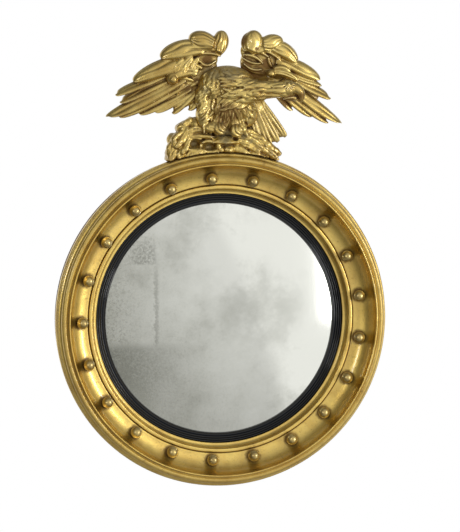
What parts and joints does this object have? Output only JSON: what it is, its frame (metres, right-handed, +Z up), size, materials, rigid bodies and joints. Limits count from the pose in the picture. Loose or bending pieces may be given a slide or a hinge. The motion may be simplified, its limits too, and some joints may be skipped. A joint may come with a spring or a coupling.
{
  "type": "girandole mirror",
  "caption": "Round convex wall mirror in a deep gilt frame with balls in its hollow and an ebonised slip, crested by a carved eagle on rockwork.",
  "frame": {"origin": "centre of the round frame in the plane of its back, which lies on the wall", "axes": "+X to the right seen from the front, +Y into the wall, +Z up; the glass faces -Y"},
  "size_m": [0.6098, 0.094, 0.8296],
  "materials": {
    "gilt_wood": "worn gold leaf over red bole and gesso",
    "gilt_ball": "burnished gold leaf",
    "ebonised_wood": "black polish",
    "silvered_glass": "foxed silvering",
    "pine": "bare and darkened with age",
    "iron": "dull",
    "old_brass": "tarnished"
  },
  "bodies": {
    "mirror": {"back_ring_segment_1": "pine", "back_ring_segment_2": "pine", "back_ring_segment_3": "pine", "back_ring_segment_4": "pine", "back_ring_segment_5": "pine", "back_ring_segment_6": "pine", "front_moulding": "gilt_wood", "inner_moulding": "gilt_wood", "ebonised_slip": "ebonised_wood", "convex_glass": "silvered_glass", "ball_01": "gilt_ball", "ball_02": "gilt_ball", "ball_03": "gilt_ball", "ball_04": "gilt_ball", "ball_05": "gilt_ball", "ball_06": "gilt_ball", "ball_07": "gilt_ball", "ball_08": "gilt_ball", "ball_09": "gilt_ball", "ball_10": "gilt_ball", "ball_11": "gilt_ball", "ball_12": "gilt_ball", "ball_13": "gilt_ball", "ball_14": "gilt_ball", "ball_15": "gilt_ball", "ball_16": "gilt_ball", "ball_17": "gilt_ball", "ball_18": "gilt_ball", "ball_19": "gilt_ball", "ball_20": "gilt_ball", "ball_21": "gilt_ball", "glazing_block_1": "pine", "glazing_block_2": "pine", "glazing_block_3": "pine", "glazing_block_4": "pine", "backboard_plank_1": "pine", "backboard_plank_2": "pine", "backboard_plank_3": "pine", "backboard_screw_1": "iron", "backboard_screw_2": "iron", "backboard_screw_3": "iron", "backboard_screw_4": "iron", "backboard_screw_5": "iron", "backboard_screw_6": "iron", "hanger_plate_left": "old_brass", "hanger_plate_right": "old_brass", "hanger_screw_1": "iron", "hanger_screw_2": "iron", "hanger_screw_3": "iron", "hanger_screw_4": "iron", "crest_strap": "iron", "strap_screw_1": "iron", "strap_screw_2": "iron", "rockwork_base": "gilt_wood", "eagle_body": "gilt_wood", "eagle_tail": "gilt_wood", "eagle_wing_left": "gilt_wood", "eagle_wing_right": "gilt_wood"},
    "left_ring": {"hanger_ring_left": "old_brass"},
    "right_ring": {"hanger_ring_right": "old_brass"}
  },
  "joints": [
    {"name": "left_ring_swing", "type": "hinge", "parent": "mirror", "child": "left_ring", "pos_m": [-0.275, -0.0036, 0.054], "axis": [1, 0, 0], "range_deg": [0, 175]},
    {"name": "right_ring_swing", "type": "hinge", "parent": "mirror", "child": "right_ring", "pos_m": [0.275, -0.0036, 0.054], "axis": [1, 0, 0], "range_deg": [0, 175]}
  ]
}
